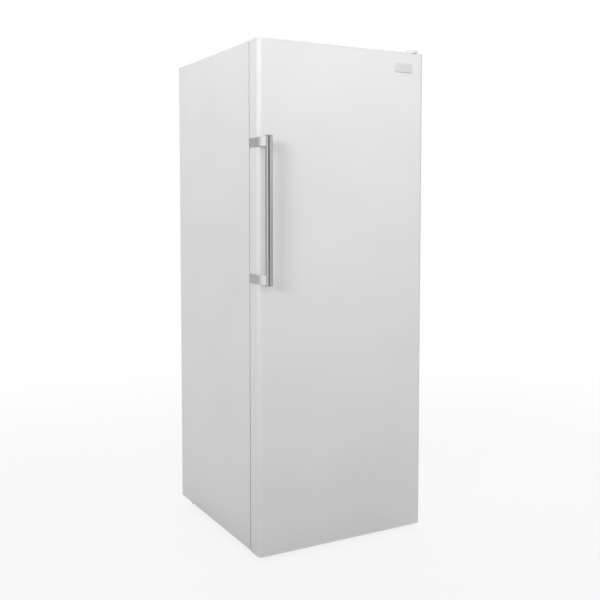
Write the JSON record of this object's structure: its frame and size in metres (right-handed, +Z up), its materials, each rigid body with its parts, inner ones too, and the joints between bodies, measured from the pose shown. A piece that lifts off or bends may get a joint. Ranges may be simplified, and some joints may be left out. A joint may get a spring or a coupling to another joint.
{
  "type": "upright freezer",
  "caption": "Tall white freezer cabinet with a right-hinged door, a vertical bar handle, fixed wire shelves and a rear condenser.",
  "frame": {"origin": "on the floor, under the middle of the overall box", "axes": "+Z up, +Y from the door towards the back, +X to the right when facing the door"},
  "size_m": [0.6045, 0.7185, 1.584],
  "materials": {
    "white_enamel": "gloss white enamel on steel",
    "zinc_steel": "zinc plated steel",
    "satin_bar": "satin brushed aluminium",
    "white_liner": "white thermoformed plastic",
    "white_trim": "white moulded plastic",
    "clear_plastic": "translucent moulded plastic",
    "grey_plastic": "grey moulded plastic",
    "seal_rubber": "grey flexible seal",
    "black_rubber": "black rubber",
    "insulation": null,
    "black_machine": "black enamel",
    "white_wire": "white coated wire and tube",
    "copper": "copper tube",
    "plate_grey": "bare satin plate"
  },
  "bodies": {
    "cabinet": {"back_panel": "zinc_steel", "base_panel": "white_enamel", "cabinet_foam": "insulation", "capillary_tube": "copper", "compressor_body": "black_machine", "compressor_grommets": "black_rubber", "compressor_rail": "zinc_steel", "condenser_brackets": "grey_plastic", "condenser_coil": "black_machine", "cord_gland": "black_rubber", "discharge_tube": "copper", "door_switch_body": "white_trim", "drain_tube": "white_trim", "evaporator_risers": "white_wire", "evaporator_shelf_1": "white_wire", "evaporator_shelf_2": "white_wire", "evaporator_shelf_3": "white_wire", "evaporator_shelf_4": "white_wire", "filter_drier": "copper", "foot_bracket": "zinc_steel", "hinge_bracket_bottom": "zinc_steel", "hinge_bracket_top": "zinc_steel", "hinge_cover": "white_trim", "hinge_pin_bottom": "zinc_steel", "hinge_pin_top": "zinc_steel", "hinge_screws": "zinc_steel", "inner_liner": "white_liner", "lamp_board": "white_trim", "lamp_cover": "clear_plastic", "outer_wrapper": "white_enamel", "relay_cover": "grey_plastic", "roller_axles": "zinc_steel", "shelf_clips": "white_trim", "storage_drawer": "clear_plastic", "suction_tube": "copper", "thermostat_housing": "white_trim", "wall_spacers": "grey_plastic"},
    "door": {"door_skin": "white_enamel", "door_cap_top": "white_trim", "door_cap_bottom": "white_trim", "door_foam": "insulation", "door_liner": "white_liner", "door_gasket": "seal_rubber", "door_bushes": "white_trim", "handle_bar": "satin_bar", "handle_bracket_lower": "satin_bar", "handle_bracket_upper": "satin_bar", "handle_screws": "zinc_steel", "nameplate": "plate_grey"},
    "foot_left": {"foot_left": "grey_plastic"},
    "foot_right": {"foot_right": "grey_plastic"},
    "roller_left": {"roller_left": "grey_plastic"},
    "roller_right": {"roller_right": "grey_plastic"},
    "thermostat_knob": {"thermostat_knob": "white_trim"},
    "door_switch_plunger": {"door_switch_plunger": "white_trim"},
    "door_bin_1": {"door_bin_1": "clear_plastic"},
    "door_bin_2": {"door_bin_2": "clear_plastic"},
    "door_bin_3": {"door_bin_3": "clear_plastic"},
    "door_bin_4": {"door_bin_4": "clear_plastic"}
  },
  "joints": [
    {"name": "door_hinge", "type": "hinge", "parent": "cabinet", "child": "door", "pos_m": [0.283, -0.28075, 0], "axis": [0, 0, 1], "range_deg": [0, 125]},
    {"name": "thermostat_turn", "type": "hinge", "parent": "cabinet", "child": "thermostat_knob", "pos_m": [0.222, 0.00525, 1.419], "axis": [-1, 0, 0], "range_deg": [0, 300]},
    {"name": "door_switch_travel", "type": "slide", "parent": "cabinet", "child": "door_switch_plunger", "axis": [0, -1, 0], "range_m": [0, 0.006]},
    {"name": "foot_left_height", "type": "slide", "parent": "cabinet", "child": "foot_left", "axis": [0, 0, -1], "range_m": [0, 0.012]},
    {"name": "foot_right_height", "type": "slide", "parent": "cabinet", "child": "foot_right", "axis": [0, 0, -1], "range_m": [0, 0.012]},
    {"name": "roller_left_spin", "type": "hinge", "parent": "cabinet", "child": "roller_left", "pos_m": [-0.275, 0.26925, 0.018], "axis": [1, 0, 0], "continuous": true},
    {"name": "roller_right_spin", "type": "hinge", "parent": "cabinet", "child": "roller_right", "pos_m": [0.275, 0.26925, 0.018], "axis": [1, 0, 0], "continuous": true},
    {"name": "door_bin_1_lift", "type": "slide", "parent": "door", "child": "door_bin_1", "axis": [0, 0, 1], "range_m": [0, 0.02]},
    {"name": "door_bin_2_lift", "type": "slide", "parent": "door", "child": "door_bin_2", "axis": [0, 0, 1], "range_m": [0, 0.02]},
    {"name": "door_bin_3_lift", "type": "slide", "parent": "door", "child": "door_bin_3", "axis": [0, 0, 1], "range_m": [0, 0.02]},
    {"name": "door_bin_4_lift", "type": "slide", "parent": "door", "child": "door_bin_4", "axis": [0, 0, 1], "range_m": [0, 0.02]}
  ],
  "couplings": [
    {"joint": "door_switch_travel", "follows": "door_hinge", "m_per_rad": 0.0027501}
  ]
}
